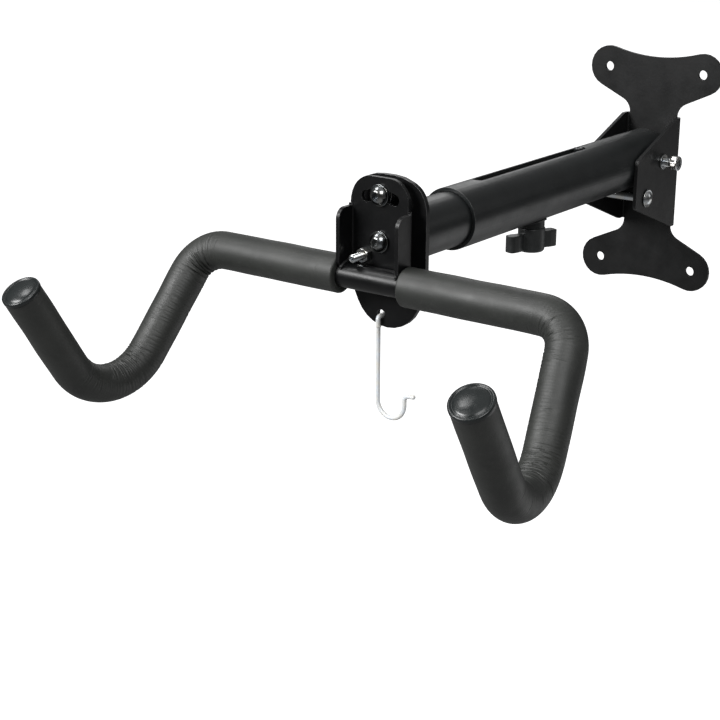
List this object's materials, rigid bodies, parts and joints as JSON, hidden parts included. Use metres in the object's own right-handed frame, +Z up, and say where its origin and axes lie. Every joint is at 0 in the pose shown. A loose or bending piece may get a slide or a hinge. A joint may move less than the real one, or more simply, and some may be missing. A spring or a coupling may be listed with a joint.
{
  "type": "bicycle wall rack",
  "caption": "Folding, telescoping wall rack whose two padded bent arms carry a bicycle by its top tube, with a tilting head and a wire helmet hook",
  "frame": {"origin": "on the back face of the wall bracket, in the middle of its four screw holes", "axes": "the wall is the plane y = 0; +Y points into the wall, the arm reaches out along -Y, +Z is up and +X is to the right seen from the room"},
  "size_m": [0.4098, 0.602, 0.2334],
  "materials": {
    "wall_bracket": "satin black powder coat",
    "pivot_screw": "bright zinc plating",
    "pivot_washer_right": "bright zinc plating",
    "pivot_washer_left": "bright zinc plating",
    "pivot_nut": "bright zinc plating",
    "stop_bolt": "bright zinc plating",
    "stop_bolt_washer": "bright zinc plating",
    "stop_bolt_nut": "bright zinc plating",
    "outer_tube": "satin black powder coat",
    "pivot_sleeve": "bright zinc plating",
    "clamp_boss": "satin black powder coat",
    "clamp_stud": "bright zinc plating",
    "clamp_knob": "moulded black plastic",
    "inner_tube": "satin black powder coat",
    "guide_screw": "bright zinc plating",
    "head_plate": "satin black powder coat",
    "tilt_pivot_screw": "bright zinc plating",
    "tilt_pivot_washer": "bright zinc plating",
    "tilt_pivot_spacer": "bright zinc plating",
    "tilt_pivot_nut": "bright zinc plating",
    "tilt_lock_screw": "bright zinc plating",
    "tilt_lock_washer": "bright zinc plating",
    "tilt_lock_spacer": "bright zinc plating",
    "tilt_lock_nut": "bright zinc plating",
    "tilt_bracket": "satin black powder coat",
    "tilt_set_screw": "bright zinc plating",
    "tilt_set_nut": "bright zinc plating",
    "cradle_bar": "satin black powder coat",
    "foam_left": "matt black foam rubber",
    "foam_right": "matt black foam rubber",
    "end_cap_left": "moulded black plastic",
    "end_cap_right": "moulded black plastic",
    "helmet_hook": "bright zinc plating"
  },
  "bodies": {
    "wall_bracket": {"wall_bracket": "wall_bracket", "pivot_screw": "pivot_screw", "pivot_washer_right": "pivot_washer_right", "pivot_washer_left": "pivot_washer_left", "pivot_nut": "pivot_nut", "stop_bolt": "stop_bolt", "stop_bolt_washer": "stop_bolt_washer", "stop_bolt_nut": "stop_bolt_nut"},
    "outer_arm": {"outer_tube": "outer_tube", "pivot_sleeve": "pivot_sleeve", "clamp_boss": "clamp_boss"},
    "clamp_stud": {"clamp_stud": "clamp_stud"},
    "clamp_knob": {"clamp_knob": "clamp_knob"},
    "inner_arm": {"inner_tube": "inner_tube", "guide_screw": "guide_screw", "head_plate": "head_plate", "tilt_pivot_screw": "tilt_pivot_screw", "tilt_pivot_washer": "tilt_pivot_washer", "tilt_pivot_spacer": "tilt_pivot_spacer", "tilt_pivot_nut": "tilt_pivot_nut", "tilt_lock_screw": "tilt_lock_screw", "tilt_lock_washer": "tilt_lock_washer", "tilt_lock_spacer": "tilt_lock_spacer", "tilt_lock_nut": "tilt_lock_nut"},
    "cradle": {"tilt_bracket": "tilt_bracket", "tilt_set_screw": "tilt_set_screw", "tilt_set_nut": "tilt_set_nut", "cradle_bar": "cradle_bar", "foam_left": "foam_left", "foam_right": "foam_right", "end_cap_left": "end_cap_left", "end_cap_right": "end_cap_right"},
    "helmet_hook": {"helmet_hook": "helmet_hook"}
  },
  "joints": [
    {"name": "arm_fold", "type": "hinge", "parent": "wall_bracket", "child": "outer_arm", "pos_m": [0, -0.0335, 0.015], "axis": [-1, 0, 0], "range_deg": [0, 85]},
    {"name": "arm_extend", "type": "slide", "parent": "outer_arm", "child": "inner_arm", "axis": [0, -1, 0], "range_m": [0, 0.15]},
    {"name": "clamp_turn_travel", "type": "slide", "parent": "outer_arm", "child": "clamp_stud", "axis": [0, 0, -1], "range_m": [0, 0.00376]},
    {"name": "clamp_turn", "type": "hinge", "parent": "clamp_stud", "child": "clamp_knob", "pos_m": [0, -0.208, -0.014], "axis": [0, 0, 1], "range_deg": [0, 1080]},
    {"name": "head_tilt", "type": "hinge", "parent": "inner_arm", "child": "cradle", "pos_m": [0, -0.419, 0.015], "axis": [0, -1, 0], "range_deg": [-20, 20]},
    {"name": "hook_swing", "type": "hinge", "parent": "inner_arm", "child": "helmet_hook", "pos_m": [-0.0056, -0.4075, -0.042], "axis": [0, -1, 0], "range_deg": [-45, 45]}
  ],
  "couplings": [
    {"joint": "clamp_turn_travel", "follows": "clamp_turn", "m_per_rad": 0.00019894}
  ]
}
